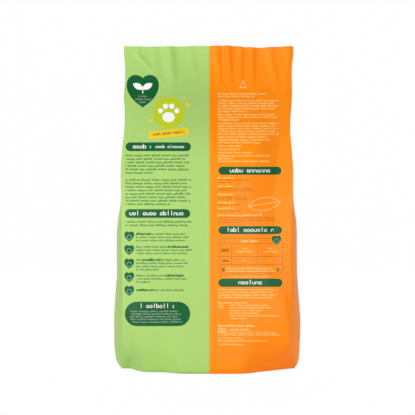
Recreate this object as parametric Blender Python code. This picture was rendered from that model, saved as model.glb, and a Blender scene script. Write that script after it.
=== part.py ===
"""Pet food bag: a filled and sealed side-gusset film bag that stands on its base.

The bag is one closed solid in metres, +Z up. The origin is the middle of the underside,
the printed panel faces -Y and +X runs to the right across it.
"""

import bmesh
import bpy
import numpy as np

# Film sizes, as the empty bag would measure laid flat
PANEL_WIDTH = 0.170
GUSSET_WIDTH = 0.078
SEAL_HEIGHT = 0.009
SEAL_THICKNESS = 0.0012

# Sizes of the bag when it is full and stands
BAG_HEIGHT = 0.322
BELLY_DEPTH = 0.106
BASE_DEPTH = 0.092
GUSSET_BULGE = 0.0105

# Soft folds that gather the film from the top edge downwards
FOLD_HEIGHT = 0.0034
FOLD_WIDTH = 0.0038
FOLD_LENGTH = 0.030
TOP_EDGE_SAG = 0.0018

# Share of the seal's height in which the folded gussets close
GUSSET_CLOSING = 0.08

# Where the two colours of the print meet, right of the middle of the panel
COLOUR_SPLIT = 0.002

# Mesh steps
PANEL_COLUMNS = 44
GUSSET_COLUMNS = 6
BODY_ROWS = 32

# Keys up the bag: share of the height below the seal, then a share of the named size
FOOT_SWELL = ((0, 0), (0.006, 0.3), (0.016, 0.52), (0.04, 0.72), (0.13, 0.93), (0.22, 1), (1, 1))
NECK_TAPER = ((0, 1), (0.53, 0.98), (0.72, 0.82), (0.82, 0.5), (0.89, 0.23), (0.94, 0.09), (0.975, 0.025), (1, 0))
CREASE_OPENING = ((0, 0.07), (0.03, 0.34), (0.07, 0.66), (0.13, 0.89), (0.22, 0.97), (0.53, 0.97),
                  (0.72, 0.73), (0.82, 0.44), (0.89, 0.19), (0.94, 0.07), (0.975, 0.02), (1, 0))
GUSSET_FULLNESS = ((0, 0.05), (0.01, 0.35), (0.03, 0.7), (0.14, 1), (0.2, 0.93), (0.26, 0.79), (0.32, 0.7),
                   (0.41, 0.7), (0.46, 0.62), (0.5, 0.44), (0.56, 0.16), (0.62, 0), (1, 0))
GUSSET_FOLD = ((0, 0), (0.46, 0), (0.64, 0.45), (0.8, 0.88), (1, 1))
BACK_FOLLOWS = ((0, 0), (0.95, 0), (0.985, 0.6), (1, 1))
LEFT_CREASE = ((0, 1), (0.04, 0.986), (0.13, 0.974), (0.35, 0.98), (0.5, 0.985), (0.64, 0.993), (0.7, 0.979),
               (0.77, 0.958), (0.83, 0.964), (0.862, 0.976), (0.92, 0.965), (0.96, 0.968), (1, 0.981))
RIGHT_CREASE = ((0, 1.018), (0.02, 0.995), (0.06, 0.974), (0.13, 0.967), (0.36, 0.966), (0.5, 0.977),
                (0.62, 0.982), (0.68, 0.97), (0.74, 0.957), (0.8, 0.962), (0.83, 0.973), (0.87, 0.987),
                (0.96, 0.994), (1, 1.01))
BASE_FLATNESS = ((0, 1), (0.12, 0.35), (0.25, 0), (1, 0))
ROW_PLACES = ((0, 0), (0.1, 0.016), (0.22, 0.07), (0.36, 0.22), (0.56, 0.72), (0.72, 0.86), (1, 1))

# Keys across the panel, from its left crease (-1) to its right one (1)
BASE_OUTLINE = ((-1, 0), (-0.91, 0.03), (-0.81, 0.44), (-0.72, 0.66), (-0.62, 0.7), (-0.53, 0.7), (-0.44, 0.78),
                (-0.34, 0.94), (-0.25, 1), (0.3, 1), (0.42, 0.95), (0.5, 0.83), (0.6, 0.61), (0.69, 0.49),
                (0.79, 0.31), (0.88, 0.16), (0.97, 0.01), (1, 0))
TOP_EDGE = ((-1, 0), (-0.68, 0.4), (-0.5, 0.27), (-0.36, 0.38), (-0.15, 0), (0.22, 0), (0.32, 0.2), (0.42, 0.7),
            (0.52, 0.96), (0.62, 1), (0.72, 0.8), (0.86, 0.4), (1, 0.1))

# Gathers as (place on the half panel, lean of the fold's foot, strength, shares of fold length and width)
FRONT_FOLDS = ((-0.842, 0.26, 0.6, 0.8, 0.9), (-0.635, 0.0, 0.3, 0.8, 1.0), (-0.454, 0.03, 0.9, 0.95, 1.35),
               (-0.195, 0.04, 0.35, 0.7, 0.95), (0.103, 0.03, 0.6, 0.7, 1.05), (0.236, 0.03, 1.2, 0.85, 0.97),
               (0.374, 0.0, 1.0, 1.0, 1.1), (0.508, 0.01, 1.15, 0.92, 1.05), (0.722, 0.09, 0.65, 1.0, 1.15),
               (0.94, -0.03, 0.8, 1.0, 1.1))
BACK_FOLDS = ((-0.86, 0.1, 0.8, 0.93, 1.0), (-0.62, -0.03, 0.7, 1.07, 1.3), (-0.36, 0.05, 1.0, 0.87, 1.0),
              (-0.1, 0.0, 0.5, 0.67, 0.9), (0.16, -0.04, 0.8, 1.0, 1.2), (0.42, 0.03, 0.6, 0.8, 1.0),
              (0.66, 0.02, 1.0, 1.07, 1.3), (0.9, -0.1, 0.8, 0.87, 1.0))

FILM_GREEN = (0.44, 0.65, 0.19, 1)
FILM_ORANGE = (0.90, 0.25, 0.02, 1)
FILM_ROUGHNESS = 0.42


def curve(keys, place):
    """Read a smooth curve through (place, value) keys that never swings past a key."""
    places, values = np.array(keys, float).T
    place = np.clip(place, places[0], places[-1])
    gap = np.diff(places)
    rise = np.diff(values) / gap
    slope = np.concatenate([rise[:1], (rise[:-1] + rise[1:]) / 2, rise[-1:]])
    least = np.minimum(np.abs(rise[:-1]), np.abs(rise[1:]))
    turning = rise[:-1] * rise[1:] <= 0
    slope[1:-1] = np.where(turning, 0, np.clip(slope[1:-1], -3 * least, 3 * least))
    i = np.clip(np.searchsorted(places, place) - 1, 0, len(gap) - 1)
    t = (place - places[i]) / gap[i]
    start = (1 + 2 * t) * (1 - t) ** 2 * values[i] + t * (1 - t) ** 2 * gap[i] * slope[i]
    end = t * t * (3 - 2 * t) * values[i + 1] - t * t * (1 - t) * gap[i] * slope[i + 1]
    return start + end


def fold_relief(folds, across, below_seal):
    """How far the gathers stand out of a panel, at one distance below the seal."""
    relief = np.zeros_like(across)
    for place, lean, strength, long, wide in folds:
        length = long * FOLD_LENGTH
        middle = place + lean * below_seal / length
        ridge = np.exp(-(((across - middle) * PANEL_WIDTH / 2 / (wide * FOLD_WIDTH)) ** 2))
        relief = np.maximum(relief, strength * ridge * np.exp(-((below_seal / length) ** 2)))
    from_crease = (1 - np.abs(across)) * PANEL_WIDTH / 2
    return FOLD_HEIGHT * relief * np.clip(from_crease / FOLD_WIDTH, 0, 1)


def section(share, gussets_open=True, plies_together=False):
    """The bag's outline at one height as (x, y) points: front, right side, back, left side."""
    half_seal = SEAL_THICKNESS / 2
    half_gusset = GUSSET_WIDTH / 2
    swell = BASE_DEPTH + (BELLY_DEPTH - BASE_DEPTH) * curve(FOOT_SWELL, share)
    middle = half_seal + (swell / 2 - half_seal) * curve(NECK_TAPER, share)
    crease = half_seal + (half_gusset - half_seal) * curve(CREASE_OPENING, share)
    left = PANEL_WIDTH / 2 * curve(LEFT_CREASE, share)
    right = PANEL_WIDTH / 2 * curve(RIGHT_CREASE, share)

    across = np.linspace(-1, 1, PANEL_COLUMNS + 1)
    panel_x = np.where(across < 0, across * (left + COLOUR_SPLIT), across * (right - COLOUR_SPLIT))
    panel_x += COLOUR_SPLIT
    flatness = curve(BASE_FLATNESS, share)
    bow = flatness * curve(BASE_OUTLINE, across) + (1 - flatness) * (1 - across**2)
    panel_y = crease + (middle - crease) * bow

    # Where nothing parts the panels, the back one follows the front one's gathers
    below_seal = (1 - share) * (BAG_HEIGHT - SEAL_HEIGHT)
    front_relief = fold_relief(FRONT_FOLDS, across, below_seal)
    back_relief = fold_relief(BACK_FOLDS, across, below_seal)
    inside_gussets = np.clip((min(left, right) - half_gusset - np.abs(panel_x)) / FOLD_WIDTH - 0.5, 0, 1)
    follows = curve(BACK_FOLLOWS, share)
    back_shift = back_relief * (1 - follows)
    back_shift -= front_relief * (1 if plies_together else follows * inside_gussets)
    front = np.stack([panel_x, -panel_y - front_relief], 1)
    back = np.stack([panel_x, panel_y + back_shift], 1)[::-1]

    along = np.linspace(-1, 1, GUSSET_COLUMNS + 1)
    folded_in = np.sqrt(max(half_gusset**2 - crease**2, 0)) * curve(GUSSET_FOLD, share)
    pushed_out = GUSSET_BULGE * curve(GUSSET_FULLNESS, share)
    reach = pushed_out * (1 - along**2) - folded_in * (1 - np.abs(along))
    reach *= gussets_open
    right_side = np.stack([right + reach, crease * along], 1)
    left_side = np.stack([-left - reach, -crease * along], 1)
    return np.concatenate([front[:-1], right_side[:-1], back[:-1], left_side[:-1]])


def ring_points():
    """Every outline from the underside to the top edge, as (row, column, xyz)."""
    body_height = BAG_HEIGHT - SEAL_HEIGHT
    shares = curve(ROW_PLACES, np.linspace(0, 1, BODY_ROWS + 1))
    rings = [(share * body_height, section(share)) for share in shares]
    rings.append((body_height + SEAL_HEIGHT * GUSSET_CLOSING, section(1, gussets_open=False)))
    sealed = section(1, gussets_open=False, plies_together=True)
    rings.append((body_height + SEAL_HEIGHT / 2, sealed))
    sag = TOP_EDGE_SAG * curve(TOP_EDGE, sealed[:, 0] / (PANEL_WIDTH / 2))
    rings.append((BAG_HEIGHT - sag, sealed))
    points = np.array([np.column_stack([outline, np.broadcast_to(z, len(outline))]) for z, outline in rings])
    sides = points[..., :2].reshape(-1, 2)
    points[..., :2] -= (sides.min(0) + sides.max(0)) / 2
    return points


def film(name, colour):
    """Satin printed film in one colour."""
    material = bpy.data.materials.new(name)
    material.use_nodes = True
    shader = material.node_tree.nodes["Principled BSDF"]
    shader.inputs["Base Color"].default_value = colour
    shader.inputs["Roughness"].default_value = FILM_ROUGHNESS
    shader.inputs["Metallic"].default_value = 0
    return material


def cap_top(bm, ring):
    """Close the top edge straight across from the front ply to the back one."""
    last = 2 * PANEL_COLUMNS + GUSSET_COLUMNS
    for i in range(1, PANEL_COLUMNS - 1):
        bm.faces.new((ring[i], ring[i + 1], ring[last - i - 1], ring[last - i]))
    bm.faces.new(ring[PANEL_COLUMNS - 1:PANEL_COLUMNS + GUSSET_COLUMNS + 2])
    bm.faces.new(ring[last - 1:] + ring[:2])


def make_bag():
    """Skin the outlines, cap them at the base and the top edge, and colour the two halves."""
    points = ring_points()
    bm = bmesh.new()
    rings = [[bm.verts.new(point) for point in ring] for ring in points]
    columns = len(rings[0])
    half_front = PANEL_COLUMNS // 2
    orange = range(half_front, PANEL_COLUMNS + GUSSET_COLUMNS + half_front)
    for lower, upper in zip(rings[:-1], rings[1:]):
        for i in range(columns):
            j = (i + 1) % columns
            face = bm.faces.new((lower[i], lower[j], upper[j], upper[i]))
            face.material_index = int(i in orange)
    bm.faces.new(rings[0][::-1])
    cap_top(bm, rings[-1])
    bmesh.ops.triangulate(bm, faces=bm.faces[:])

    mesh = bpy.data.meshes.new("bag")
    bm.to_mesh(mesh)
    bm.free()
    mesh.materials.append(film("film_green", FILM_GREEN))
    mesh.materials.append(film("film_orange", FILM_ORANGE))
    mesh.shade_smooth()
    mesh.set_sharp_from_angle(angle=np.radians(50))
    bag = bpy.data.objects.new("bag", mesh)
    bpy.context.scene.collection.objects.link(bag)
    return bag


for old in list(bpy.data.objects):
    bpy.data.objects.remove(old, do_unlink=True)
make_bag()
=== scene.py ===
"""Looks of a filled pet food bag: its printed film skin and the studio it stands in."""

import math

import bpy
import numpy as np
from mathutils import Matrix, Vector, noise


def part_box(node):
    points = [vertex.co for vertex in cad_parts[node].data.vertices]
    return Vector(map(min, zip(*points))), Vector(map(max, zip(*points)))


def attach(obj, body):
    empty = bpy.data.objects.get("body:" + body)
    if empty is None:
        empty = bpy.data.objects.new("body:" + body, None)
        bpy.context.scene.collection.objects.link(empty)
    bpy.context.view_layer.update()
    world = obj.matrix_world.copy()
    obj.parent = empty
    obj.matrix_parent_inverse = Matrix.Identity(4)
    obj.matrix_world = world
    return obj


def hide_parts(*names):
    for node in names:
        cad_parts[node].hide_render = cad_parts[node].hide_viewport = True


bl_info = {
    "name": "Pet food bag",
    "version": (1, 0, 0),
    "blender": (4, 5, 0),
    "location": "3D View > Sidebar > Pet food bag",
    "description": "Makes the printed film skin of a filled side-gusset bag, and a studio for it",
    "category": "Add Mesh",
}

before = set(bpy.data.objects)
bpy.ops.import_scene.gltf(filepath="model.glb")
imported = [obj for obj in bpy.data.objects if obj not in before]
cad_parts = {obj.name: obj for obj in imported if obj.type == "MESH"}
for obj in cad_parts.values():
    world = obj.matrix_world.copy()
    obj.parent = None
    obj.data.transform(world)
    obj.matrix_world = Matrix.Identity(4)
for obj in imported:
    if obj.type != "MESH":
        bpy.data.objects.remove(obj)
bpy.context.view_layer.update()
_, BOX_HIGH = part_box("bag")
MM = 0.001

# Mesh steps of the film: a grid that runs round the bag and up it
PANEL_STEPS = 132
GUSSET_STEPS = 26
BASE_ROWS = 14
BODY_ROWS = 250
SEAL_ROWS = 8

# Keys up the bag: share of the height below the seal, then a share of the named size
FOOT_SWELL = ((0, 0), (0.006, 0.3), (0.016, 0.52), (0.04, 0.72), (0.13, 0.93), (0.22, 1), (1, 1))
NECK_TAPER = ((0, 1), (0.53, 0.98), (0.72, 0.82), (0.82, 0.5), (0.89, 0.23), (0.94, 0.09), (0.975, 0.025),
              (1, 0))
CREASE_OPENING = ((0, 0.07), (0.03, 0.34), (0.07, 0.66), (0.13, 0.89), (0.22, 0.97), (0.53, 0.97),
                  (0.72, 0.73), (0.82, 0.44), (0.89, 0.19), (0.94, 0.07), (0.975, 0.02), (1, 0))
GUSSET_FULLNESS = ((0, 0.05), (0.01, 0.35), (0.03, 0.7), (0.14, 1), (0.2, 0.93), (0.26, 0.79), (0.32, 0.7),
                   (0.41, 0.7), (0.46, 0.62), (0.5, 0.44), (0.56, 0.16), (0.62, 0), (1, 0))
GUSSET_FOLD = ((0, 0), (0.46, 0), (0.64, 0.45), (0.8, 0.88), (1, 1))
BACK_FOLLOWS = ((0, 0), (0.95, 0), (0.985, 0.6), (1, 1))
LEFT_CREASE = ((0, 1), (0.04, 0.986), (0.13, 0.974), (0.35, 0.98), (0.5, 0.985), (0.64, 0.993), (0.7, 0.979),
               (0.77, 0.958), (0.83, 0.964), (0.862, 0.976), (0.92, 0.965), (0.96, 0.968), (1, 0.981))
RIGHT_CREASE = ((0, 1.018), (0.02, 0.995), (0.06, 0.974), (0.13, 0.967), (0.36, 0.966), (0.5, 0.977),
                (0.62, 0.982), (0.68, 0.97), (0.74, 0.957), (0.8, 0.962), (0.83, 0.973), (0.87, 0.987),
                (0.96, 0.994), (1, 1.01))
BASE_FLATNESS = ((0, 1), (0.12, 0.35), (0.25, 0), (1, 0))
ROW_PLACES = ((0, 0), (0.12, 0.05), (0.3, 0.25), (0.62, 0.76), (1, 1))

# How loose the film is, by share of the full height
LOOSENESS = ((0, 0), (0.03, 0.6), (0.4, 1), (0.85, 1), (0.97, 0.2), (1, 0))

# Shares of the seal's height: where the gussets have closed, and where the plies are sealed
CLOSING_RISE = 0.08
SEALED_FROM = 0.4

# Keys across the panel, from its left crease (-1) to its right one (1)
BASE_OUTLINE = ((-1, 0), (-0.91, 0.03), (-0.81, 0.44), (-0.72, 0.66), (-0.62, 0.7), (-0.53, 0.7),
                (-0.44, 0.78), (-0.34, 0.94), (-0.25, 1), (0.3, 1), (0.42, 0.95), (0.5, 0.83), (0.6, 0.61),
                (0.69, 0.49), (0.79, 0.31), (0.88, 0.16), (0.97, 0.01), (1, 0))
TOP_EDGE = ((-1, 0), (-0.68, 0.4), (-0.5, 0.27), (-0.36, 0.38), (-0.15, 0), (0.22, 0), (0.32, 0.2),
            (0.42, 0.7), (0.52, 0.96), (0.62, 1), (0.72, 0.8), (0.86, 0.4), (1, 0.1))

# Gathers as (place across the panel, lean of the fold's foot, strength, shares of fold length and width)
FRONT_FOLDS = ((-0.842, 0.26, 0.42, 0.8, 0.9), (-0.635, 0, 0.35, 0.8, 1), (-0.454, 0.03, 1, 0.95, 1.35),
               (-0.195, 0.04, 0.35, 0.7, 0.95), (0.103, 0.03, 1.05, 0.7, 1.05),
               (0.236, 0.03, 1.5, 0.85, 0.97), (0.374, 0, 1.35, 1, 1.1), (0.508, 0.01, 1.5, 0.92, 1.05),
               (0.722, 0.09, 1, 1, 1.15), (0.94, -0.03, 0.8, 1, 1.1))
BACK_FOLDS = ((-0.86, 0.1, 0.8, 0.93, 1), (-0.62, -0.03, 0.7, 1.07, 1.3), (-0.36, 0.05, 1, 0.87, 1),
              (-0.1, 0, 0.5, 0.67, 0.9), (0.16, -0.04, 0.8, 1, 1.2), (0.42, 0.03, 0.6, 0.8, 1),
              (0.66, 0.02, 1, 1.07, 1.3), (0.9, -0.1, 0.8, 0.87, 1))

# Soft folds pressed into the front by handling, in mm as the print is read:
# (x, z, half length, reach to the left and to the right, turn in degrees from upright, height)
DENTS = ((36, 190, 58, 24, 26, 26, 4.2), (70, 176, 62, 24, 13, 3, -3.6), (80, 40, 30, 22, 6, -8, 3),
         (50, 26, 18, 10, 10, -10, 0.8), (-72, 30, 34, 12, 22, 6, 2.4), (-34, 172, 36, 20, 14, 30, 1.2),
         (58, 92, 40, 18, 12, -14, 1), (-46, 26, 18, 12, 12, -25, 0.5))
# Roundness of their crests in mm, and the powers that shape their slopes and their ends
DENT_CREST = 2.0
DENT_ROOF_POWER = 1.3
DENT_END_POWER = 4

# In metres: where relief fades out, at a crease, over the underside and between close plies
DENT_FADE = 0.0035
DENT_FOOT_FADE = 0.012
RELIEF_ROOM = 0.01

# Noise of the film's relief, as waves in a metre along x, y and z. The crumples are shifted away from
# the waves, and capped at a share of their height.
WAVES_IN_METRE = (26, 26, 11)
CRUMPLES_IN_METRE = (80, 80, 40)
CRUMPLE_SHIFT = (0, 0, 5)
CRUMPLE_CAP = 0.2

# How the flat mesh grid is sewn up, in metres, and the angle in degrees past which an edge stays sharp
SEWING_GAP = 1e-6
LEAST_NORMAL = 1e-9
SMOOTH_ANGLE = 60

# The print is read square-on from here, in metres, which is also where the camera stands
READING_DISTANCE = 1.3
READING_HEIGHT = 0.1605
NOT_PRINTED = 9.0

# Shares of the bake map: the printed panel has most of its width, then right side, back, left side
BAKE_MARGIN = 0.006
BAKE_STRIPS = ((0.006, 0.64), (0.652, 0.732), (0.744, 0.902), (0.914, 0.994))

# The print, in millimetres: across from the middle of the panel, and up from the underside.
# Boxes are (left, right, low, high), some with the radius of their corners as well.
COLOUR_SPLIT = 2.1
SHARP_CORNER = 0.001
PILLS = ((-81.5, -16.2, 216.9, 225.6), (-82.2, -17.0, 150.1, 158.8), (11.3, 74.3, 193.3, 201.3),
         (11.3, 74.8, 133.9, 141.8), (11.3, 75.3, 81.2, 89.4))
NOTE_PANEL = (-82.2, -17.0, 41.9, 66.3, 12.0)

# Hearts as (x, z, width, stretch upwards), and the ring in the small ones as (radius, line)
BIG_HEART = (-64.4, 274.8, 32.2, 1.045)
SMALL_HEARTS = (-77.9, 130.9, 9.7, 1.06)
SMALL_HEART_PITCH = 13.6
SMALL_HEART_COUNT = 5
TABLE_HEART = (69.3, 127.1, 9.1, 1.05)
HEART_MARK = (2.2, 0.6)

# The feeding table: its box, then the places of its lines and marks
TABLE = (11.6, 75.5, 94.8, 129.9)
TABLE_CORNER = 1.6
TABLE_LINE = 0.45
TABLE_ROWS = (124.6, 111.5, 103.5)
TABLE_COLUMNS = (24.4, 50.5)
TABLE_MARKS = ((13.9, 21.9, 116.0, 119.5), (14.9, 21.7, 106.1, 108.5), (14.3, 17.7, 96.4, 100.2),
               (69.2, 72.2, 96.4, 100.2))
TABLE_MARK_CORNER = 0.8

# Text blocks as (left, right, top line, lines, line pitch, height of a small letter)
GREEN_TEXT = ((-81.8, -15.6, 212.4, 5, 3.48, 1.5), (-81.8, -53.0, 195.0, 1, 3.48, 1.5),
              (-81.8, -14.6, 188.0, 7, 3.48, 1.5), (-81.8, -37.3, 163.7, 1, 3.48, 1.5),
              (-81.8, -12.9, 146.1, 2, 3.5, 1.5), (-71.3, -17.0, 133.9, 3, 3.25, 1.3),
              (-71.3, -13.0, 121.0, 3, 3.25, 1.3), (-71.3, -18.0, 107.9, 3, 3.25, 1.3),
              (-71.3, -48.6, 98.2, 1, 3.25, 1.3), (-71.3, -17.5, 92.2, 2, 3.2, 1.3),
              (-71.3, -56.7, 85.8, 1, 3.25, 1.3), (-71.3, -23.2, 77.7, 1, 3.25, 1.3))
BOLD_TEXT = ((-71.3, -57.0, 133.9, 1, 3.25, 1.7), (-39.3, -19.2, 121.0, 1, 3.25, 1.7),
             (-64.7, -47.0, 107.9, 1, 3.25, 1.7), (-40.6, -23.2, 92.2, 1, 3.25, 1.7),
             (-71.3, -55.3, 77.7, 1, 3.25, 1.7))
PALE_TEXT = ((10.8, 58.9, 274.1, 1, 2.6, 1.2), (10.8, 47.3, 271.5, 1, 2.6, 1.2),
             (10.8, 73.0, 267.3, 4, 2.67, 1.2), (10.8, 41.0, 256.6, 1, 2.67, 1.2),
             (10.8, 71.5, 253.4, 2, 2.65, 1.2), (10.8, 32.9, 248.1, 1, 2.65, 1.2),
             (10.8, 73.2, 244.6, 5, 2.68, 1.2), (10.8, 65.0, 231.0, 2, 2.9, 1.2),
             (10.8, 53.4, 225.4, 1, 2.9, 1.2), (10.8, 34.4, 221.9, 2, 3.2, 1.2),
             (10.8, 45.5, 215.4, 1, 3.1, 1.2), (10.8, 63.2, 212.2, 1, 3.1, 1.2),
             (10.8, 26.4, 209.5, 1, 3.1, 1.2), (10.8, 61.5, 206.7, 1, 3.1, 1.2),
             (10.8, 27.0, 190.1, 3, 8.3, 1.3), (10.8, 28.0, 165.3, 2, 5.8, 1.3),
             (10.8, 51.5, 152.6, 1, 3.1, 1.3), (33.7, 50.8, 126.6, 1, 3.0, 1.7),
             (34.1, 40.8, 119.5, 1, 3.0, 1.1), (30.0, 44.1, 116.4, 1, 3.0, 1.3),
             (59.9, 65.5, 119.5, 1, 3.0, 1.1), (56.2, 70.6, 116.4, 1, 3.0, 1.3),
             (35.1, 39.1, 107.3, 1, 3.0, 1.1), (60.5, 64.9, 107.3, 1, 3.0, 1.1),
             (19.0, 68.2, 99.6, 2, 2.8, 1.1), (22.9, 63.5, 91.4, 1, 2.8, 0.9),
             (10.8, 73.2, 78.3, 4, 2.63, 1.1), (10.8, 40.8, 65.1, 1, 2.6, 1.2),
             (22.7, 64.5, 62.6, 2, 2.3, 1.0), (22.7, 57.2, 57.4, 2, 2.6, 1.0),
             (22.7, 72.2, 52.2, 1, 2.8, 1.0), (22.7, 39.4, 49.4, 1, 2.8, 1.0),
             (10.8, 16.7, 62.6, 2, 2.3, 1.0), (11.0, 48.8, 42.1, 1, 2.6, 1.8),
             (20.3, 43.4, 38.1, 1, 2.6, 1.6), (10.8, 74.9, 35.4, 2, 2.2, 1.0),
             (10.8, 36.7, 29.7, 1, 2.6, 1.0), (10.8, 59.5, 27.1, 1, 2.6, 1.0),
             (10.8, 36.7, 23.5, 1, 2.6, 1.0))
BROWN_TEXT = ((10.8, 41.8, 188.1, 1, 2.5, 1.0), (10.8, 24.4, 185.6, 1, 2.5, 1.0),
              (10.8, 48.5, 179.4, 2, 2.0, 1.0), (10.8, 41.4, 171.0, 2, 2.0, 1.0),
              (10.8, 32.7, 163.1, 1, 2.0, 1.0), (10.8, 32.7, 157.0, 1, 2.0, 1.0),
              (10.8, 73.0, 150.1, 2, 2.4, 1.0), (10.8, 36.1, 145.6, 1, 2.4, 1.0))
MINT_TEXT = ((-77.0, -23.3, 56.5, 4, 2.65, 1.1), (-75.4, -25.0, 45.9, 1, 2.65, 1.1),
             (-69.0, -60.3, 271.6, 1, 3.0, 1.3), (-73.0, -56.0, 268.6, 1, 3.0, 1.3),
             (-69.0, -60.0, 265.6, 1, 3.0, 1.3))

# Headings as (left, right, middle of the line, height of a small letter)
HEADINGS = ((-77.8, -56.3, 221.0, 3.4), (-54.2, -23.2, 221.0, 2.4), (-78.0, -23.2, 154.2, 3.4),
            (19.0, 66.2, 197.0, 3.4), (19.3, 66.4, 137.6, 3.4), (27.7, 58.2, 85.1, 3.4),
            (-67.6, -33.2, 61.5, 3.3))

# A plain badge in place of the pack's own: a paw on a scalloped disc, with a slanted tag and dots.
# Discs are (x, z, radius), the pad with its stretch upwards as well.
BADGE = (-38.5, 255.2, 15.6)
BADGE_SCALLOPS = 16
BADGE_SCALLOP_DEPTH = 0.045
BADGE_TAG = (-58.5, -18.5, 230.8, 238.6, 1.2)
BADGE_TAG_TILT = 6.0
BADGE_TAG_TEXT = (-54.5, -22.5, 234.7, 1, 3.0, 2.0)
BADGE_DOTS = ((-57.0, 247.5, 1.7), (-19.6, 263.5, 2.0), (-23.2, 270.2, 1.3))
PAW_PAD = (-38.5, 250.9, 6.3, 0.8)
PAW_TOES = ((-46.6, 257.2, 2.5), (-41.6, 261.8, 2.7), (-35.4, 261.8, 2.7), (-30.4, 257.2, 2.5))

# A sprout of two leaves and a stem in the big heart, as (middle, length, width, turn in degrees)
SPROUT = (((-69.0, 281.6), 11.5, 6.0, -28.0), ((-59.8, 281.6), 11.5, 6.0, 28.0))
SPROUT_STEM = (-64.9, -63.9, 274.6, 279.6, 0.4)

# Small marks on the orange: a leaf in outline, two rings, a dot and a triangle
LEAF = ((57.0, 164.0), 32.0, 13.0, 8.0)
LEAF_LINE = 0.55
LEAF_VEIN = 0.4
SMALL_RINGS = ((12.6, 38.1, 1.6, 0.7), (16.8, 38.1, 1.6, 0.9))
SMALL_DOT = (53.7, 153.5, 1.1)
TRIANGLE = (35.9, 282.8, 1.9, 1.25)
TRIANGLE_LINE = 0.7
TRIANGLE_SIDES_FACE = (270, 30, 150)

# Width of the curve that the hearts are cut from, in its own units
HEART_CURVE_WIDTH = 2.28

# Small print, in heights of a small letter. A stroke's chance says if it rises, drops or is joined.
# Each stroke pitch, in mm, comes after the least height of the letters that have it.
STROKE_REACH = 0.5
STROKE_RISE = 0.45
STROKE_DROP = 0.4
RISE_ABOVE = 0.7
DROP_BELOW = 0.12
JOINT_HEIGHT = 0.36
JOINT_LINE = 0.14
JOINT_BELOW = 0.85
STROKE_PITCHES = ((1.6, 1.2), (1.5, 1.1), (0, 1.0))
STROKES_IN_WORD = 9.0
WORD_GAP = 0.06
RAGGED_SHARE = 0.12
LINE_SHIFT = 7.31
LINE_SLACK = 0.25

# Headings, in heights of a small letter. A loop whose chance is near the arch's is opened to an arch.
HEADING_LOOP = 0.36
HEADING_STROKE = 0.2
ARCH_CHANCE = 0.45
ARCH_SPREAD = 0.13
BAR_ABOVE = 0.84
HEADING_GAP = 0.16

# Chance is worked out from a number: the sine of a wide step, spread until its fraction looks random
CHANCE_STEP = 12.9898
CHANCE_SPREAD = 437.585
GOLDEN_SHARE = 0.618

# Share of the stroke pitch that is ink, and how strongly an ink of thin strokes shows
PALE_WEIGHT, LIGHT_WEIGHT = 0.56, 0.5
FINE_INK, CREAM_INK, MINT_INK = 0.8, 0.85, 0.3

# Small print of the film itself as (blocks, share of ink, colour, how strongly it shows)
SMALL_PRINT = ((GREEN_TEXT, 0.66, "dark_green", FINE_INK), (BOLD_TEXT, 0.62, "dark_green", 1),
               (BROWN_TEXT, 0.6, "brown", FINE_INK))

# The part of a noise pattern's values that is stretched to the full change, and its levels of detail
TONE_SPAN = (0.3, 0.7)
WEB_SPAN = (0.25, 0.75)
WEB_DETAIL = 3.0
NOISE_DETAIL = 2.0
ROUGHNESS_SPREAD = (-0.04, 0.05)
PAPER_ROUGHNESS = 0.9

# Lamps as (name, place, width, height), in metres. Each faces the middle of the bag.
LAMPS = (("key", (-1.3, -1.05, 0.15), 0.7, 0.7), ("fill", (0.35, -1.5, 0.4), 1.2, 1.2),
         ("foot", (0.6, -1.45, 0.09), 0.8, 0.16), ("side", (1.4, 0.6, 0.3), 0.8, 0.8),
         ("back", (0, 1.5, 0.8), 1.2, 1.2))


def linear_colour(text):
    """An sRGB hex colour as the linear RGBA that Blender's sockets hold."""
    levels = [int(text[i:i + 2], 16) / 255 for i in (0, 2, 4)]
    return [c / 12.92 if c <= 0.04045 else ((c + 0.055) / 1.055) ** 2.4 for c in levels] + [1]


def curve(keys, place):
    """Read a smooth curve through (place, value) keys that never swings past a key."""
    places, values = np.array(keys, float).T
    place = np.clip(place, places[0], places[-1])
    gap = np.diff(places)
    rise = np.diff(values) / gap
    slope = np.concatenate([rise[:1], (rise[:-1] + rise[1:]) / 2, rise[-1:]])
    least = np.minimum(np.abs(rise[:-1]), np.abs(rise[1:]))
    turning = rise[:-1] * rise[1:] <= 0
    slope[1:-1] = np.where(turning, 0, np.clip(slope[1:-1], -3 * least, 3 * least))
    i = np.clip(np.searchsorted(places, place) - 1, 0, len(gap) - 1)
    t = (place - places[i]) / gap[i]
    start = (1 + 2 * t) * (1 - t) ** 2 * values[i] + t * (1 - t) ** 2 * gap[i] * slope[i]
    end = t * t * (3 - 2 * t) * values[i + 1] - t * t * (1 - t) * gap[i] * slope[i + 1]
    return start + end


def fade(gap, width, start=0.0):
    """Rise evenly from 0 to 1 over a width, from a start that is a share of it."""
    return np.clip(gap / width - start, 0, 1)


def fold_relief(sizes, folds, across, below_seal):
    """How far the gathers stand out of a panel, at one distance below the seal."""
    relief = np.zeros_like(across)
    for place, lean, strength, long, wide in folds:
        length = long * sizes.fold_length
        middle = place + lean * below_seal / length
        ridge = np.exp(-(((across - middle) * sizes.panel_width / 2 / (wide * sizes.fold_width)) ** 2))
        relief = np.maximum(relief, strength * ridge * np.exp(-((below_seal / length) ** 2)))
    from_crease = (1 - np.abs(across)) * sizes.panel_width / 2
    return sizes.fold_height * relief * fade(from_crease, sizes.fold_width)


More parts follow.
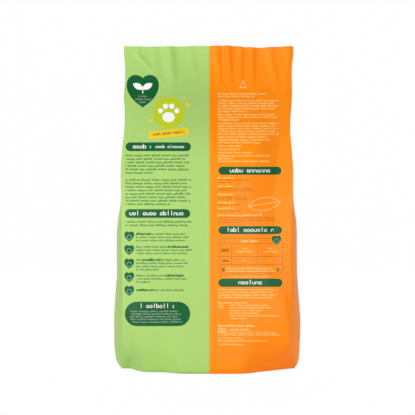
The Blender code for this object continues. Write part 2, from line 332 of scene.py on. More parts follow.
def section(sizes, share, gussets_open=1.0, plies_together=False):
    """The bag's outline at one height as (x, y) points: front, right side, back, left side."""
    half_seal = sizes.seal_thickness / 2
    half_gusset = sizes.gusset_width / 2
    swell = sizes.base_depth + (sizes.belly_depth - sizes.base_depth) * curve(FOOT_SWELL, share)
    middle = half_seal + (swell / 2 - half_seal) * curve(NECK_TAPER, share)
    crease = half_seal + (half_gusset - half_seal) * curve(CREASE_OPENING, share)
    left = sizes.panel_width / 2 * curve(LEFT_CREASE, share)
    right = sizes.panel_width / 2 * curve(RIGHT_CREASE, share)

    across = np.linspace(-1, 1, PANEL_STEPS + 1)
    panel_x = np.where(across < 0, across * left, across * right)
    flatness = curve(BASE_FLATNESS, share)
    bow = flatness * curve(BASE_OUTLINE, across) + (1 - flatness) * (1 - across**2)
    panel_y = crease + (middle - crease) * bow

    # Where nothing parts the panels, the back one follows the front one's gathers
    below_seal = (1 - share) * (sizes.height - sizes.seal_height)
    front_relief = fold_relief(sizes, FRONT_FOLDS, across, below_seal)
    back_relief = fold_relief(sizes, BACK_FOLDS, across, below_seal)
    from_gusset = min(left, right) - half_gusset - np.abs(panel_x)
    inside_gussets = fade(from_gusset, sizes.fold_width, start=0.5)
    follows = curve(BACK_FOLLOWS, share)
    back_shift = back_relief * (1 - follows)
    back_shift -= front_relief * (1 if plies_together else follows * inside_gussets)
    front = np.stack([panel_x, -panel_y - front_relief], 1)
    back = np.stack([panel_x, panel_y + back_shift], 1)[::-1]

    along = np.linspace(-1, 1, GUSSET_STEPS + 1)
    folded_in = np.sqrt(max(half_gusset**2 - crease**2, 0)) * curve(GUSSET_FOLD, share)
    pushed_out = sizes.gusset_bulge * curve(GUSSET_FULLNESS, share)
    reach = (pushed_out * (1 - along**2) - folded_in * (1 - np.abs(along))) * gussets_open
    right_side = np.stack([right + reach, crease * along], 1)
    left_side = np.stack([-left - reach, -crease * along], 1)
    return np.concatenate([front[:-1], right_side[:-1], back[:-1], left_side[:-1], front[:1]])


def film_points(sizes):
    """The film as a grid of points, (row, column, xyz), from the underside's middle line to the top."""
    body_height = sizes.height - sizes.seal_height
    rings = []
    foot = section(sizes, 0)
    for spread in np.linspace(0, 1, BASE_ROWS + 1)[:-1]:
        rings.append(np.column_stack([foot * (1, spread), np.zeros(len(foot))]))
    for share in curve(ROW_PLACES, np.linspace(0, 1, BODY_ROWS + 1)):
        outline = section(sizes, share)
        rings.append(np.column_stack([outline, np.full(len(outline), share * body_height)]))
    closing = section(sizes, 1, gussets_open=0.0)
    closed_at = body_height + CLOSING_RISE * sizes.seal_height
    rings.append(np.column_stack([closing, np.full(len(closing), closed_at)]))
    sealed = section(sizes, 1, gussets_open=0.0, plies_together=True)
    sag = sizes.top_sag * curve(TOP_EDGE, sealed[:, 0] / (sizes.panel_width / 2))
    for rise in np.linspace(SEALED_FROM, 1, SEAL_ROWS):
        rings.append(np.column_stack([sealed, body_height + rise * sizes.seal_height - sag * rise]))
    top = rings[-1].copy()
    mirrored = mirror_columns()
    top[:, 1] = (top[:, 1] + top[mirrored, 1]) / 2
    rings.append(top)
    points = np.array(rings)
    sides = points[..., :2].reshape(-1, 2)
    points[..., :2] -= (sides.min(0) + sides.max(0)) / 2
    return points


def mirror_columns():
    """For each column of the grid, the one that lies opposite it through the bag."""
    front = np.arange(PANEL_STEPS + 1)
    right = np.arange(PANEL_STEPS, PANEL_STEPS + GUSSET_STEPS + 1)
    back = PANEL_STEPS + GUSSET_STEPS + np.arange(PANEL_STEPS + 1)
    left = 2 * PANEL_STEPS + GUSSET_STEPS + np.arange(GUSSET_STEPS + 1)
    mirrored = np.zeros(2 * (PANEL_STEPS + GUSSET_STEPS) + 1, int)
    mirrored[front], mirrored[back] = back[::-1], front[::-1]
    mirrored[right], mirrored[left] = right[::-1], left[::-1]
    mirrored[0], mirrored[-1] = back[-1], back[-1]
    return mirrored


def noise_on(points, in_metre, shift=0.0):
    """Smooth noise over a grid of points."""
    places = points * in_metre + shift
    return np.array([[noise.noise(Vector(place)) for place in ring] for ring in places])


def film_relief(sizes, points):
    """Push the film in and out along its own normal: slack waves, fine crumples and pressed folds."""
    along_row = np.roll(points, -1, 1) - np.roll(points, 1, 1)
    along_row[:, 0] = along_row[:, -1] = points[:, 1] - points[:, -2]
    up_column = np.gradient(points, axis=0)
    normal = np.cross(along_row, up_column)
    normal /= np.maximum(np.linalg.norm(normal, axis=2, keepdims=True), LEAST_NORMAL)
    waves = noise_on(points, WAVES_IN_METRE)
    crumples = noise_on(points, CRUMPLES_IN_METRE, CRUMPLE_SHIFT)
    loose = curve(LOOSENESS, points[..., 2] / sizes.height)
    depth = sizes.wave_height * waves + sizes.crumple_height * np.minimum(crumples, CRUMPLE_CAP)
    # Where the plies lie close together they leave each other less room to stand out
    depth *= fade(np.abs(points[:, :1, 1]), RELIEF_ROOM)
    return points + normal * (depth * loose + dent_relief(points))[..., None]


def dent_relief(points):
    """How far the soft folds stand out of the film, in metres, on the front alone."""
    x, z = (place / MM for place in print_place(*points.transpose(2, 0, 1)))
    relief = np.zeros_like(x)
    for middle_x, middle_z, half, left, right, turn, height in DENTS:
        lean = math.radians(turn)
        along = (x - middle_x) * math.sin(lean) + (z - middle_z) * math.cos(lean)
        beside = (x - middle_x) * math.cos(lean) - (z - middle_z) * math.sin(lean)
        reach = np.where(beside < 0, left, right)
        slope = np.sqrt(beside**2 + DENT_CREST**2) - DENT_CREST
        roof = np.clip(1 - slope / reach, 0, 1) ** DENT_ROOF_POWER
        relief += height * MM * roof * np.exp(-((along / half) ** DENT_END_POWER))
    edges = points[:, [0, PANEL_STEPS]]
    from_crease = np.minimum(points[..., 0] - edges[:, :1, 0], edges[:, 1:, 0] - points[..., 0])
    relief *= fade(from_crease, DENT_FADE) * fade(points[..., 2], DENT_FOOT_FADE, start=0.5)
    relief[:, PANEL_STEPS:] = 0
    return relief


def print_place(x, y, z):
    """Where a point of the panel is read when the bag is looked at square-on."""
    nearer = READING_DISTANCE / (READING_DISTANCE + y)
    return x * nearer, READING_HEIGHT + (z - READING_HEIGHT) * nearer


def lay_print_maps(mesh, points, column, row):
    """Give the film its print map, in metres on the panel, and a flat map of the whole film for baking."""
    loops = np.zeros(len(mesh.loops), int)
    mesh.loops.foreach_get("vertex_index", loops)
    loops = loops.reshape(-1, 4)
    columns, rows = column[loops], row[loops]
    blocks = np.cumsum([0, PANEL_STEPS, GUSSET_STEPS, PANEL_STEPS, GUSSET_STEPS])
    block = np.searchsorted(blocks, columns.min(1), side="right") - 1
    across = (columns - blocks[block][:, None]) / np.diff(blocks)[block][:, None]

    reading = np.stack(print_place(*points[rows, columns].transpose(2, 0, 1)), -1)
    reading[block != 0] = NOT_PRINTED
    mesh.uv_layers.new(name="print").data.foreach_set("uv", reading.ravel())

    steps = np.linalg.norm(np.diff(points[:, PANEL_STEPS // 2], axis=0), axis=1)
    up = np.concatenate([[0], np.cumsum(steps)])
    up = BAKE_MARGIN + (1 - 2 * BAKE_MARGIN) * up / up[-1]
    lows = np.array([low for low, _ in BAKE_STRIPS])
    widths = np.array([high - low for low, high in BAKE_STRIPS])
    flat = np.stack([lows[block][:, None] + across * widths[block][:, None], up[rows]], -1)
    mesh.uv_layers.new(name="OFBake").data.foreach_set("uv", flat.ravel())


def add(tree, kind, *inputs, **settings):
    """Add a shader node by its kind, or kind and operation: set it up, link or fill its inputs in order."""
    kind, _, operation = kind.partition(".")
    node = tree.nodes.new("ShaderNode" + kind)
    if operation:
        node.operation = operation
    for name, value in settings.items():
        setattr(node, name, value)
    sockets = [socket for socket in node.inputs if socket.enabled]
    for socket, value in zip(sockets, inputs):
        if isinstance(value, bpy.types.NodeSocket):
            tree.links.new(value, socket)
        else:
            socket.default_value = value
    return next(socket for socket in node.outputs if socket.enabled)


def shape_group(name, draw, vectors, numbers=()):
    """Keep one shape of the print as a node group, so that each use of it is a single node."""
    if name not in bpy.data.node_groups:
        group = bpy.data.node_groups.new(name, "ShaderNodeTree")
        for labels, kind in ((vectors, "NodeSocketVector"), (numbers, "NodeSocketFloat")):
            for label in labels:
                group.interface.new_socket(label, in_out="INPUT", socket_type=kind)
        group.interface.new_socket("Field", in_out="OUTPUT", socket_type="NodeSocketFloat")
        sockets = group.nodes.new("NodeGroupInput").outputs
        field = draw(group, *sockets[:len(vectors) + len(numbers)])
        group.links.new(field, group.nodes.new("NodeGroupOutput").inputs[0])
    return bpy.data.node_groups[name]


def parts(tree, vector):
    """The x and y of a vector."""
    split = tree.nodes.new("ShaderNodeSeparateXYZ")
    tree.links.new(vector, split.inputs[0])
    return split.outputs[0], split.outputs[1]


def draw_box(tree, place, centre, half, corner):
    """1 inside a box with round corners."""
    offset = add(tree, "VectorMath.SUBTRACT", place, centre)
    offset = add(tree, "VectorMath.ABSOLUTE", offset)
    offset = add(tree, "VectorMath.SUBTRACT", offset, half)
    offset = add(tree, "VectorMath.MAXIMUM", offset, (0, 0, 0))
    beyond = add(tree, "VectorMath.LENGTH", offset)
    return add(tree, "Math.LESS_THAN", beyond, corner)


def box_field(tree, place, left, right, low, high, corner=SHARP_CORNER):
    """1 inside a box with round corners, 0 outside."""
    group = shape_group("box", draw_box, ("Place", "Centre", "Half"), ("Corner",))
    centre = ((left + right) / 2, (low + high) / 2, 0)
    half = ((right - left) / 2 - corner, (high - low) / 2 - corner, 0)
    return add(tree, "Group", place, centre, half, corner, node_tree=group)


def offset_from(tree, place, x, z, tall):
    """The way from a point to a place, with heights counted less if the shape is tall."""
    offset = add(tree, "VectorMath.SUBTRACT", place, (x, z, 0))
    return add(tree, "VectorMath.MULTIPLY", offset, (1, 1 / tall, 0))


def distance(tree, place, x, z, tall=1.0):
    """How far a place is from a point."""
    return add(tree, "VectorMath.LENGTH", offset_from(tree, place, x, z, tall))


def disc_field(tree, place, x, z, radius, tall=1.0):
    """1 inside a disc or an upright oval, 0 outside."""
    return add(tree, "Math.LESS_THAN", distance(tree, place, x, z, tall), radius)


def ring_field(tree, place, x, z, radius, line):
    """1 on the line of a circle, 0 elsewhere."""
    return add(tree, "Math.COMPARE", distance(tree, place, x, z), radius, line / 2)


def badge_field(tree, place, x, z, radius):
    """1 inside a disc with a scalloped rim."""
    offset = add(tree, "VectorMath.SUBTRACT", place, (x, z, 0))
    across, up = parts(tree, offset)
    turn = add(tree, "Math.ARCTAN2", up, across)
    turn = add(tree, "Math.MULTIPLY", turn, BADGE_SCALLOPS / 2)
    lobe = add(tree, "Math.SINE", turn)
    lobe = add(tree, "Math.ABSOLUTE", lobe)
    dip = radius * BADGE_SCALLOP_DEPTH
    rim = add(tree, "Math.MULTIPLY_ADD", lobe, 2 * dip, radius - dip)
    far = add(tree, "VectorMath.LENGTH", offset)
    return add(tree, "Math.LESS_THAN", far, rim)


def turned_about(tree, place, middle, turn):
    """A place, turned back so that a shape at this turn in degrees lies level."""
    return add(tree, "VectorRotate", place, (*middle, 0), -math.radians(turn), rotation_type="Z_AXIS")


def leaf_distance(tree, place, middle, length, width, turn):
    """For a pointed oval: the distance that is its radius on the outline, the turned place, the radius."""
    radius = (length**2 + width**2) / (4 * width)
    rise = radius - width / 2
    level = turned_about(tree, place, middle, turn)
    arcs = [distance(tree, level, middle[0], middle[1] + side * rise) for side in (-1, 1)]
    return union(tree, arcs), level, radius


def draw_heart(tree, place, centre, scale):
    """1 inside the curve (x2 + y2 - 1)3 = x2 y3."""
    offset = add(tree, "VectorMath.SUBTRACT", place, centre)
    offset = add(tree, "VectorMath.MULTIPLY", offset, scale)
    x, y = parts(tree, offset)
    x2 = add(tree, "Math.MULTIPLY", x, x)
    y2 = add(tree, "Math.MULTIPLY", y, y)
    cube = add(tree, "Math.ADD", x2, y2)
    cube = add(tree, "Math.SUBTRACT", cube, 1.0)
    cube = add(tree, "Math.POWER", cube, 3.0)
    lobes = add(tree, "Math.MULTIPLY", x2, y2)
    lobes = add(tree, "Math.MULTIPLY", lobes, y)
    return add(tree, "Math.LESS_THAN", cube, lobes)


def heart_field(tree, place, x, z, width, tall):
    """1 inside a plain heart, 0 outside."""
    group = shape_group("heart", draw_heart, ("Place", "Centre", "Scale"))
    scale = HEART_CURVE_WIDTH / width
    return add(tree, "Group", place, (x, z, 0), (scale, scale / tall, 0), node_tree=group)


def union(tree, fields):
    """The largest of several fields."""
    return join(tree, fields, "MAXIMUM")


def product(tree, fields):
    """Several fields multiplied: 1 where all of them are."""
    return join(tree, fields, "MULTIPLY")


def join(tree, fields, operation):
    """Join fields one after the other, each as soon as it is drawn, so that few are held at once."""
    joined = None
    for field in fields:
        joined = field if joined is None else add(tree, "Math." + operation, joined, field)
    return joined


def chance_of(tree, number):
    """A share from 0 to 1 that looks random, and is the same for the same number."""
    chance = add(tree, "Math.MULTIPLY", number, CHANCE_STEP)
    chance = add(tree, "Math.SINE", chance)
    chance = add(tree, "Math.MULTIPLY", chance, CHANCE_SPREAD)
    return add(tree, "Math.FRACT", chance)


def draw_text(tree, place, left, right, top, last, pitch, tall, stroke, ragged, weight):
    """Lines of strokes of uneven height, some joined, with gaps between words: no letter is drawn."""
    x, z = parts(tree, place)
    down = add(tree, "Math.SUBTRACT", top, z)
    down = add(tree, "Math.DIVIDE", down, pitch)
    line = add(tree, "Math.ROUND", down)
    above = add(tree, "Math.SUBTRACT", line, down)
    above = add(tree, "Math.MULTIPLY", above, pitch)
    above = add(tree, "Math.DIVIDE", above, tall)
    seed = add(tree, "Math.MULTIPLY_ADD", line, LINE_SHIFT, top)

    share = add(tree, "Math.DIVIDE", x, stroke)
    share = add(tree, "Math.ADD", share, seed)
    number = add(tree, "Math.FLOOR", share)
    along = add(tree, "Math.FRACT", share)
    chance = chance_of(tree, number)
    rises = add(tree, "Math.GREATER_THAN", chance, RISE_ABOVE)
    drops = add(tree, "Math.LESS_THAN", chance, DROP_BELOW)
    head = add(tree, "Math.MULTIPLY_ADD", rises, STROKE_RISE, STROKE_REACH)
    foot = add(tree, "Math.MULTIPLY_ADD", drops, -STROKE_DROP, -STROKE_REACH)
    stem = product(tree, [add(tree, "Math.LESS_THAN", along, weight),
                          add(tree, "Math.LESS_THAN", above, head),
                          add(tree, "Math.GREATER_THAN", above, foot)])
    upper = add(tree, "Math.GREATER_THAN", chance, 0.5)
    joint = add(tree, "Math.MULTIPLY_ADD", upper, 2 * JOINT_HEIGHT, -JOINT_HEIGHT)
    joint = add(tree, "Math.COMPARE", above, joint, JOINT_LINE)
    joint = product(tree, [joint, add(tree, "Math.LESS_THAN", chance, JOINT_BELOW)])

    words = add(tree, "Math.MULTIPLY", share, 1 / STROKES_IN_WORD)
    words = add(tree, "TexVoronoi", words, 1.0, voronoi_dimensions="1D", feature="DISTANCE_TO_EDGE")
    words = add(tree, "Math.GREATER_THAN", words, WORD_GAP)
    end = add(tree, "Math.MULTIPLY", seed, GOLDEN_SHARE)
    end = add(tree, "Math.FRACT", end)
    end = add(tree, "Math.MULTIPLY", end, ragged)
    end = add(tree, "Math.SUBTRACT", right, end)
    ends = add(tree, "Math.LESS_THAN", x, end)
    starts = add(tree, "Math.GREATER_THAN", x, left)
    middle = add(tree, "Math.MULTIPLY", last, 0.5)
    reach = add(tree, "Math.ADD", middle, LINE_SLACK)
    inside = add(tree, "Math.COMPARE", line, middle, reach)
    return product(tree, [union(tree, [stem, joint]), words, ends, starts, inside])


def text_field(tree, place, weight, left, right, top, lines, pitch, tall):
    """1 on the strokes of a block of small print, 0 elsewhere."""
    labels = ("Left", "Right", "Top", "Last line", "Pitch", "Tall", "Stroke", "Ragged", "Weight")
    group = shape_group("small_print", draw_text, ("Place",), labels)
    ragged = RAGGED_SHARE * (right - left) if lines > 1 else 0.0
    stroke = next(step for least, step in STROKE_PITCHES if tall >= least)
    values = (left, right, top, lines - 1, pitch, tall, stroke, ragged, weight)
    return add(tree, "Group", place, *values, node_tree=group)


def draw_heading(tree, place, left, right, middle, tall):
    """One line of bold loops, arches and stems in place of a heading: nothing is spelt."""
    x, z = parts(tree, place)
    along = add(tree, "Math.SUBTRACT", x, left)
    along = add(tree, "Math.DIVIDE", along, tall)
    number = add(tree, "Math.FLOOR", along)
    across = add(tree, "Math.FRACT", along)
    across = add(tree, "Math.SUBTRACT", across, 0.5)
    up = add(tree, "Math.SUBTRACT", z, middle)
    up = add(tree, "Math.DIVIDE", up, tall)
    chance = chance_of(tree, add(tree, "Math.ADD", number, middle))

    from_middle = add(tree, "CombineXYZ", across, up, 0.0)
    from_middle = add(tree, "VectorMath.LENGTH", from_middle)
    loop = add(tree, "Math.COMPARE", from_middle, HEADING_LOOP, HEADING_STROKE / 2)
    arched = add(tree, "Math.COMPARE", chance, ARCH_CHANCE, ARCH_SPREAD)
    barred = add(tree, "Math.GREATER_THAN", chance, BAR_ABOVE)
    turned = add(tree, "Math.SUBTRACT", chance, ARCH_CHANCE)
    turned = add(tree, "Math.MULTIPLY", turned, up)
    opened = add(tree, "Math.LESS_THAN", turned, 0.0)
    opened = product(tree, [opened, arched])
    hidden = add(tree, "Math.MAXIMUM", opened, barred)
    loop = add(tree, "Math.SUBTRACT", loop, hidden, use_clamp=True)

    beside = add(tree, "Math.ABSOLUTE", across)
    legs = add(tree, "Math.COMPARE", beside, HEADING_LOOP, HEADING_STROKE / 2)
    height = add(tree, "Math.ABSOLUTE", up)
    reach = HEADING_LOOP + HEADING_STROKE / 2
    legs = product(tree, [legs, opened, add(tree, "Math.LESS_THAN", height, reach)])
    tall_ones = add(tree, "Math.GREATER_THAN", chance, RISE_ABOVE)
    post = add(tree, "Math.MULTIPLY_ADD", barred, HEADING_LOOP, -HEADING_LOOP)
    post = add(tree, "Math.COMPARE", across, post, HEADING_STROKE / 2)
    post = product(tree, [post, tall_ones, add(tree, "Math.GREATER_THAN", up, -reach),
                          add(tree, "Math.LESS_THAN", up, 2 * reach)])

    gap = add(tree, "Math.MULTIPLY_ADD", number, GOLDEN_SHARE, middle)
    gap = add(tree, "Math.FRACT", gap)
    word = add(tree, "Math.GREATER_THAN", gap, HEADING_GAP)
    starts = add(tree, "Math.GREATER_THAN", x, left)
    ends = add(tree, "Math.LESS_THAN", x, right)
    return product(tree, [union(tree, [loop, legs, post]), word, starts, ends])


def heading_fields(tree, place, lines):
    """The headings on the dark green, one after the other."""
    group = shape_group("heading", draw_heading, ("Place",), ("Left", "Right", "Middle", "Tall"))
    for line in lines:
        yield add(tree, "Group", place, *line, node_tree=group)


def ink(tree, under, fields, colour, strength=1.0):
    """Lay one ink over what is under it, where any of the fields is."""
    field = union(tree, fields)
    if strength < 1:
        field = add(tree, "Math.MULTIPLY", field, strength)
    return add(tree, "Mix", field, under, colour, data_type="RGBA")


def table_fields(tree, place):
    """The lines and marks of the feeding table, one after the other."""
    left, right, low, high = TABLE
    line = TABLE_LINE
    outer = box_field(tree, place, left, right, low, high, TABLE_CORNER)
    inner = box_field(tree, place, left + line, right - line, low + line, high - line, TABLE_CORNER - line)
    yield add(tree, "Math.SUBTRACT", outer, inner)
    for z in TABLE_ROWS:
        yield box_field(tree, place, left, right, z - line / 2, z + line / 2)
    for x in TABLE_COLUMNS:
        yield box_field(tree, place, x - line / 2, x + line / 2, TABLE_ROWS[-1], TABLE_ROWS[0])
    for mark in TABLE_MARKS:
        yield box_field(tree, place, *mark, TABLE_MARK_CORNER)


def triangle_field(tree, place, x, z, inner_radius, tall):
    """1 on the outline of an upright triangle, 0 elsewhere."""
    offset = offset_from(tree, place, x, z, tall)
    sides = []
    for turn in TRIANGLE_SIDES_FACE:
        outwards = (math.cos(math.radians(turn)), math.sin(math.radians(turn)), 0)
        sides.append(add(tree, "VectorMath.DOT_PRODUCT", offset, outwards))
    return add(tree, "Math.COMPARE", union(tree, sides), inner_radius, TRIANGLE_LINE / 2)


def text_fields(tree, place, weight, blocks):
    """The strokes of several blocks of small print, one block after the other."""
    for block in blocks:
        yield text_field(tree, place, weight, *block)


def cream_fields(tree, place):
    """The pale marks on the orange: small print, a leaf in outline, rings, a dot and a triangle."""
    yield from text_fields(tree, place, PALE_WEIGHT, PALE_TEXT)
    outline, level, radius = leaf_distance(tree, place, *LEAF)
    yield add(tree, "Math.COMPARE", outline, radius, LEAF_LINE / 2)
    (x, z), length = LEAF[:2]
    yield box_field(tree, level, x - length / 2, x + length * LEAF_VEIN, z - LEAF_LINE / 2, z + LEAF_LINE / 2)
    for ring in SMALL_RINGS:
        yield ring_field(tree, place, *ring)
    yield disc_field(tree, place, *SMALL_DOT)
    yield triangle_field(tree, place, *TRIANGLE)


def dark_fields(tree, place, repeated, row):
    """The dark green solids: the headings' pills, the note panel and the hearts."""
    for pill in PILLS:
        yield box_field(tree, place, *pill, (pill[3] - pill[2]) / 2)
    yield box_field(tree, place, *NOTE_PANEL)
    yield heart_field(tree, place, *BIG_HEART)
    yield heart_field(tree, place, *TABLE_HEART)
    yield product(tree, (heart_field(tree, repeated, *SMALL_HEARTS), row))


def white_fields(tree, place):
    """The white marks: the headings on the dark green, the sprout and the paw."""
    yield from heading_fields(tree, place, HEADINGS)
    yield box_field(tree, place, *SPROUT_STEM)
    for leaf in SPROUT:
        outline, _, radius = leaf_distance(tree, place, *leaf)
        yield add(tree, "Math.LESS_THAN", outline, radius)
    for toe in PAW_TOES:
        yield disc_field(tree, place, *toe)
    yield disc_field(tree, place, *PAW_PAD)


def print_film(tree, film):
    """Lay the inks on the film's colour: small print, table, badge, dark green solids, then white."""
    look = bpy.context.scene.food_bag_film
    maps = add(tree, "UVMap", uv_map="print")
    place = add(tree, "VectorMath.MULTIPLY", maps, (1 / MM, 1 / MM, 0))
    for blocks, weight, colour_name, strength in SMALL_PRINT:
        colour_value = getattr(look, colour_name)[:]
        film = ink(tree, film, text_fields(tree, place, weight, blocks), colour_value, strength)
    film = ink(tree, film, table_fields(tree, place), look.brown[:], FINE_INK)
    film = ink(tree, film, cream_fields(tree, place), look.cream[:], CREAM_INK)

    film = ink(tree, film, [badge_field(tree, place, *BADGE)], look.lime[:])
    tag_middle = (sum(BADGE_TAG[:2]) / 2, sum(BADGE_TAG[2:4]) / 2)
    slanted = turned_about(tree, place, tag_middle, BADGE_TAG_TILT)
    film = ink(tree, film, [box_field(tree, slanted, *BADGE_TAG)], look.yellow[:])
    film = ink(tree, film, (disc_field(tree, place, *dot) for dot in BADGE_DOTS), look.yellow[:])
    film = ink(tree, film, [text_field(tree, slanted, LIGHT_WEIGHT, *BADGE_TAG_TEXT)], look.brown[:])

    # The small hearts are one heart, repeated up the panel inside a strip
    across, up = parts(tree, place)
    half = SMALL_HEART_PITCH / 2
    middle, first = SMALL_HEARTS[:2]
    last = first - (SMALL_HEART_COUNT - 1) * SMALL_HEART_PITCH
    wrapped = add(tree, "Math.WRAP", up, first + half, first - half)
    repeated = add(tree, "CombineXYZ", across, wrapped, 0.0)
    row = box_field(tree, place, middle - half, middle + half, last - half, first + half)
    film = ink(tree, film, dark_fields(tree, place, repeated, row), look.dark_green[:])
    ring = product(tree, (ring_field(tree, repeated, middle, first, *HEART_MARK), row))
    film = ink(tree, film, [ring], look.teal[:])
    film = ink(tree, film, [ring_field(tree, place, *TABLE_HEART[:2], *HEART_MARK)], look.teal[:])
    film = ink(tree, film, text_fields(tree, place, LIGHT_WEIGHT, MINT_TEXT), look.white[:], MINT_INK)
    return ink(tree, film, white_fields(tree, place), look.white[:])


def polypropylene_film():
    """Reverse-printed polypropylene laminate: satin, with a faint waviness of the web."""
    look = bpy.context.scene.food_bag_film
    material = bpy.data.materials.new("printed_polypropylene_film")
    material.use_nodes = True
    tree = material.node_tree
    shader = tree.nodes["Principled BSDF"]
    shader.inputs["IOR"].default_value = look.refraction

    coords = tree.nodes.new("ShaderNodeTexCoord")
    place = add(tree, "VectorMath.MULTIPLY", coords.outputs["Object"], (1 / MM,) * 3)
    side = add(tree, "Math.GREATER_THAN", parts(tree, place)[0], COLOUR_SPLIT)
    film = add(tree, "Mix", side, look.green[:], look.orange[:], data_type="RGBA")
    tone = add(tree, "TexNoise", place, 1 / look.tone_size, NOISE_DETAIL)
    tone = add(tree, "MapRange", tone, *TONE_SPAN, 1 - look.tone_change, 1 + look.tone_change)
    film = add(tree, "VectorMath.SCALE", film, tone)
    tree.links.new(print_film(tree, film), shader.inputs["Base Color"])

    web = add(tree, "TexNoise", place, 1 / look.web_size, WEB_DETAIL)
    grain = add(tree, "TexNoise", place, 1 / look.grain_size, NOISE_DETAIL)
    rough = add(tree, "MapRange", web, *WEB_SPAN, *(look.roughness + spread for spread in ROUGHNESS_SPREAD))
    tree.links.new(rough, shader.inputs["Roughness"])
    relief = add(tree, "Math.MULTIPLY", web, look.web_relief)
    relief = add(tree, "Math.MULTIPLY_ADD", grain, look.grain_relief, relief)
    bump = add(tree, "Bump", 1.0, MM)
    tree.links.new(relief, bump.node.inputs["Height"])
    tree.links.new(bump, shader.inputs["Normal"])
    return material


def length(name, description, default):
    """A length that a user can change, in metres."""
    return bpy.props.FloatProperty(name=name, description=description, default=default, min=0, unit="LENGTH")


def colour(name, description, default):
    """A colour that a user can change, from its sRGB hex value."""
    return bpy.props.FloatVectorProperty(name=name, description=description, default=linear_colour(default),
                                         subtype="COLOR", size=4, min=0, max=1)


def number(name, description, default):
    """A plain number that a user can change."""
    return bpy.props.FloatProperty(name=name, description=description, default=default, min=0)


class BagSizes(bpy.types.PropertyGroup):
    """Sizes of the bag, in metres."""
    height: length("Height", "From the underside to the top edge", BOX_HIGH.z)
    panel_width: length("Panel width", "Flat width of the front and the back", 0.170)
    gusset_width: length("Gusset width", "Flat width of a side gusset", 0.078)
    gusset_bulge: length("Gusset bulge", "How far the full gussets stand out", 0.0105)
    belly_depth: length("Belly depth", "Front to back where the bag is fullest", 0.106)
    base_depth: length("Base depth", "Front to back on the underside", 0.092)
    seal_height: length("Seal height", "Height of the sealed top band", 0.009)
    seal_thickness: length("Seal thickness", "Thickness of the sealed plies", 0.0012)
    fold_height: length("Fold height", "How far the gathers stand out", 0.0034)
    fold_width: length("Fold width", "Half width of a gather", 0.0038)
    fold_length: length("Fold length", "How far down a gather runs", 0.030)
    top_sag: length("Top sag", "How far the top edge dips", 0.0018)
    wave_height: length("Wave height", "Height of the slack waves in the film", 0.0006)
    crumple_height: length("Crumple height", "Height of the small crumples", 0.0004)


class FilmLook(bpy.types.PropertyGroup):
    """Colours and finish of the printed film."""
    green: colour("Green film", "Left field of the print", "a8ce70")
    orange: colour("Orange film", "Right field of the print", "ff8c06")
    dark_green: colour("Dark green", "Ink of the pills, hearts and small print", "085c2e")
    white: colour("White", "White ink", "f4f7f0")
    cream: colour("Cream", "Small print on the orange", "ffd782")
    brown: colour("Brown", "Table and darker small print on the orange", "9c5a14")
    lime: colour("Lime", "Disc of the badge", "bccc1e")
    yellow: colour("Yellow", "Tag and dots of the badge", "ecc92a")
    teal: colour("Teal", "Rings in the small hearts", "6fb6a0")
    refraction: number("Refraction", "Index of refraction of the outer film", 1.28)
    roughness: number("Roughness", "Mean roughness of the satin film", 0.46)
    tone_size: number("Tone size", "Size in mm of the slow colour changes", 60.0)
    tone_change: number("Tone change", "Share by which the colour changes", 0.012)
    web_size: number("Web size", "Size in mm of the web's faint waves", 7.0)
    web_relief: number("Web relief", "Height in mm of the web's faint waves", 0.08)
    grain_size: number("Grain size", "Size in mm of the satin grain, drawn coarser than it is", 0.9)
    grain_relief: number("Grain relief", "Height in mm of the satin grain", 0.006)


class StudioLook(bpy.types.PropertyGroup):
    """Floor, backdrop, light and camera."""
    sweep_size: length("Sweep size", "Width of the floor and of the backdrop", 8.0)
    backdrop_distance: length("Backdrop distance", "From the bag to the backdrop", 2.5)
    paper_colour: colour("Paper colour", "Floor and backdrop", "f4f4f2")
    paper_whitening: number("Paper whitening", "Share by which the camera sees the paper as white", 0.99)
    sky_strength: number("Sky strength", "Level of the light from all around", 0.32)
    key_power: number("Key power", "Watts of the lamp at the left", 17.0)
    fill_power: number("Fill power", "Watts of the lamp in front", 3.0)
    foot_power: number("Foot power", "Watts of the low lamp in front", 8.5)
    side_power: number("Side power", "Watts of the lamp at the right", 1.0)
    back_power: number("Back power", "Watts of the lamp behind", 16.0)
    camera_distance: length("Camera distance", "From the middle of the bag", READING_DISTANCE)
    camera_shift: length("Camera shift", "To the right of the middle of the bag", 0.00035)
    camera_height: length("Camera height", "Above the floor", READING_HEIGHT)
    half_view: length("Half view", "Half of what the camera sees at the middle of the bag", 0.2075)


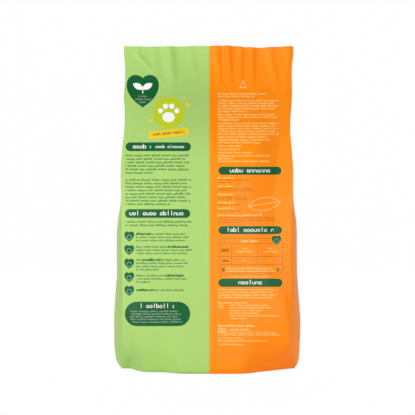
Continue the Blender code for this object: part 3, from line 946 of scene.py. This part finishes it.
class FOOD_BAG_OT_film(bpy.types.Operator):
    """Make the film skin of the bag and its print"""
    bl_idname = "food_bag.film"
    bl_label = "Film skin"

    def execute(self, context):
        sizes = context.scene.food_bag
        points = film_relief(sizes, film_points(sizes))
        rows, columns = len(points) - 1, points.shape[1] - 1
        bpy.ops.object.select_all(action="DESELECT")
        bpy.ops.mesh.primitive_grid_add(x_subdivisions=columns, y_subdivisions=rows, size=1)
        film = context.object
        film.name = film.data.name = "film_skin"
        mesh = film.data

        # The flat grid is wrapped round the bag, then sewn to itself at its borders
        flat = np.zeros(len(mesh.vertices) * 3)
        mesh.vertices.foreach_get("co", flat)
        flat = flat.reshape(-1, 3)
        column = np.rint((flat[:, 0] + 0.5) * columns).astype(int)
        row = np.rint((flat[:, 1] + 0.5) * rows).astype(int)
        mesh.vertices.foreach_set("co", points[row, column].ravel())
        while mesh.uv_layers:
            mesh.uv_layers.remove(mesh.uv_layers[0])
        lay_print_maps(mesh, points, column, row)
        border = (column == 0) | (column == columns) | (row == 0) | (row == rows)
        mesh.vertices.foreach_set("select", border)
        bpy.ops.object.mode_set(mode="EDIT")
        bpy.ops.mesh.select_mode(type="VERT")
        bpy.ops.mesh.remove_doubles(threshold=SEWING_GAP)
        bpy.ops.object.mode_set(mode="OBJECT")
        bpy.ops.object.shade_smooth_by_angle(angle=math.radians(SMOOTH_ANGLE))
        mesh.materials.append(polypropylene_film())
        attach(film, "root")
        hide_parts("bag")
        return {"FINISHED"}


class FOOD_BAG_OT_studio(bpy.types.Operator):
    """Make the pale floor, the soft light and the camera"""
    bl_idname = "food_bag.studio"
    bl_label = "Studio"

    def execute(self, context):
        look = context.scene.food_bag_studio
        bpy.ops.object.select_all(action="DESELECT")
        paper = white_paper()
        back = look.backdrop_distance
        for name, place, turn in (("floor", (0, back - look.sweep_size / 2, 0), 0),
                                  ("backdrop", (0, back, look.sweep_size / 2), math.pi / 2)):
            bpy.ops.mesh.primitive_plane_add(size=look.sweep_size, location=place, rotation=(turn, 0, 0))
            sheet = context.object
            sheet.name = name
            sheet.data.materials.append(paper)

        middle = Vector((0, 0, look.camera_height))
        for name, place, wide, tall in LAMPS:
            bpy.ops.object.light_add(type="AREA", location=place)
            lamp = context.object
            lamp.name = name + "_lamp"
            lamp.data.energy = getattr(look, name + "_power")
            lamp.data.shape = "RECTANGLE"
            lamp.data.size, lamp.data.size_y = wide, tall
            lamp.rotation_euler = (middle - lamp.location).to_track_quat("-Z", "Y").to_euler()
        world = bpy.data.worlds.new("studio")
        context.scene.world = world
        world.use_nodes = True
        world.node_tree.nodes["Background"].inputs["Color"].default_value = (1, 1, 1, 1)
        world.node_tree.nodes["Background"].inputs["Strength"].default_value = look.sky_strength

        bpy.ops.object.camera_add(location=(look.camera_shift, -look.camera_distance, look.camera_height),
                                  rotation=(math.pi / 2, 0, 0))
        camera = context.object
        camera.data.angle = 2 * math.atan(look.half_view / look.camera_distance)
        context.scene.camera = camera
        context.scene.view_settings.view_transform = "Standard"
        return {"FINISHED"}


def white_paper():
    """Background paper that looks white to the camera and in a gloss, and keeps some of the bag's shadow."""
    look = bpy.context.scene.food_bag_studio
    material = bpy.data.materials.new("white_paper")
    material.use_nodes = True
    tree = material.node_tree
    shader = tree.nodes["Principled BSDF"]
    shader.inputs["Base Color"].default_value = look.paper_colour[:]
    shader.inputs["Roughness"].default_value = PAPER_ROUGHNESS
    glow = add(tree, "Emission", (1, 1, 1, 1), 1.0)
    path = tree.nodes.new("ShaderNodeLightPath")
    rays = ("Is Camera Ray", "Is Glossy Ray", "Is Transmission Ray")
    seen = union(tree, [path.outputs[name] for name in rays])
    share = add(tree, "Math.MULTIPLY", seen, look.paper_whitening)
    mixed = add(tree, "MixShader", share, shader.outputs[0], glow)
    tree.links.new(mixed, tree.nodes["Material Output"].inputs["Surface"])
    return material


class FOOD_BAG_PT_panel(bpy.types.Panel):
    """The bag's pieces and settings"""
    bl_label = "Pet food bag"
    bl_idname = "FOOD_BAG_PT_panel"
    bl_space_type = "VIEW_3D"
    bl_region_type = "UI"
    bl_category = "Pet food bag"

    def draw(self, context):
        layout = self.layout
        for group in (context.scene.food_bag, context.scene.food_bag_film, context.scene.food_bag_studio):
            box = layout.box()
            for name in group.bl_rna.properties.keys():
                if name not in ("rna_type", "name"):
                    box.prop(group, name)
        layout.operator(FOOD_BAG_OT_film.bl_idname)
        layout.operator(FOOD_BAG_OT_studio.bl_idname)


CLASSES = (BagSizes, FilmLook, StudioLook, FOOD_BAG_OT_film, FOOD_BAG_OT_studio, FOOD_BAG_PT_panel)


def register():
    """Register the classes and give the scene its settings."""
    for cls in CLASSES:
        bpy.utils.register_class(cls)
    bpy.types.Scene.food_bag = bpy.props.PointerProperty(type=BagSizes)
    bpy.types.Scene.food_bag_film = bpy.props.PointerProperty(type=FilmLook)
    bpy.types.Scene.food_bag_studio = bpy.props.PointerProperty(type=StudioLook)


def unregister():
    """Take the settings and the classes away again."""
    del bpy.types.Scene.food_bag_studio
    del bpy.types.Scene.food_bag_film
    del bpy.types.Scene.food_bag
    for cls in reversed(CLASSES):
        bpy.utils.unregister_class(cls)


def main():
    """Make every piece."""
    register()
    bpy.ops.food_bag.film()
    bpy.ops.food_bag.studio()
    bpy.context.view_layer.update()


if __name__ == "__main__":
    main()
